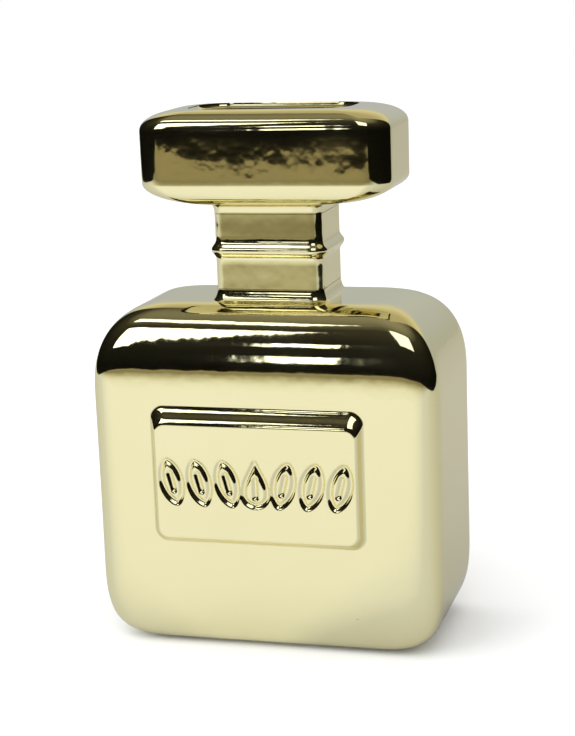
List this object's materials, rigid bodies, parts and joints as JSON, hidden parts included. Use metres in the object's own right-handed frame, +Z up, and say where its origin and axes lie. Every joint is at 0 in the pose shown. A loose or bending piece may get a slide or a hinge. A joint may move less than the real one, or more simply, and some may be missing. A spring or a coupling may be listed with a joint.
{
  "type": "perfume bottle vase",
  "caption": "Hollow ornamental vase shaped like a perfume bottle: rounded rectangular body with a raised front plaque, beaded neck and wide stopper-shaped head open on top.",
  "frame": {"origin": "on the surface the vase stands on, under the middle of its overall width and depth", "axes": "+Z up; the plaque faces -Y; +X is to the right of someone who looks at the plaque"},
  "size_m": [0.1314, 0.0712, 0.2],
  "materials": {
    "gold_glaze": "mirror-bright pale gold plated glaze with faint orange peel",
    "felt": "dark adhesive felt"
  },
  "bodies": {
    "root": {"bottle_body": "gold_glaze", "neck_collar": "gold_glaze", "stopper_head": "gold_glaze", "label_plaque": "gold_glaze", "felt_pad_front_left": "felt", "felt_pad_front_right": "felt", "felt_pad_back_left": "felt", "felt_pad_back_right": "felt"}
  },
  "joints": []
}
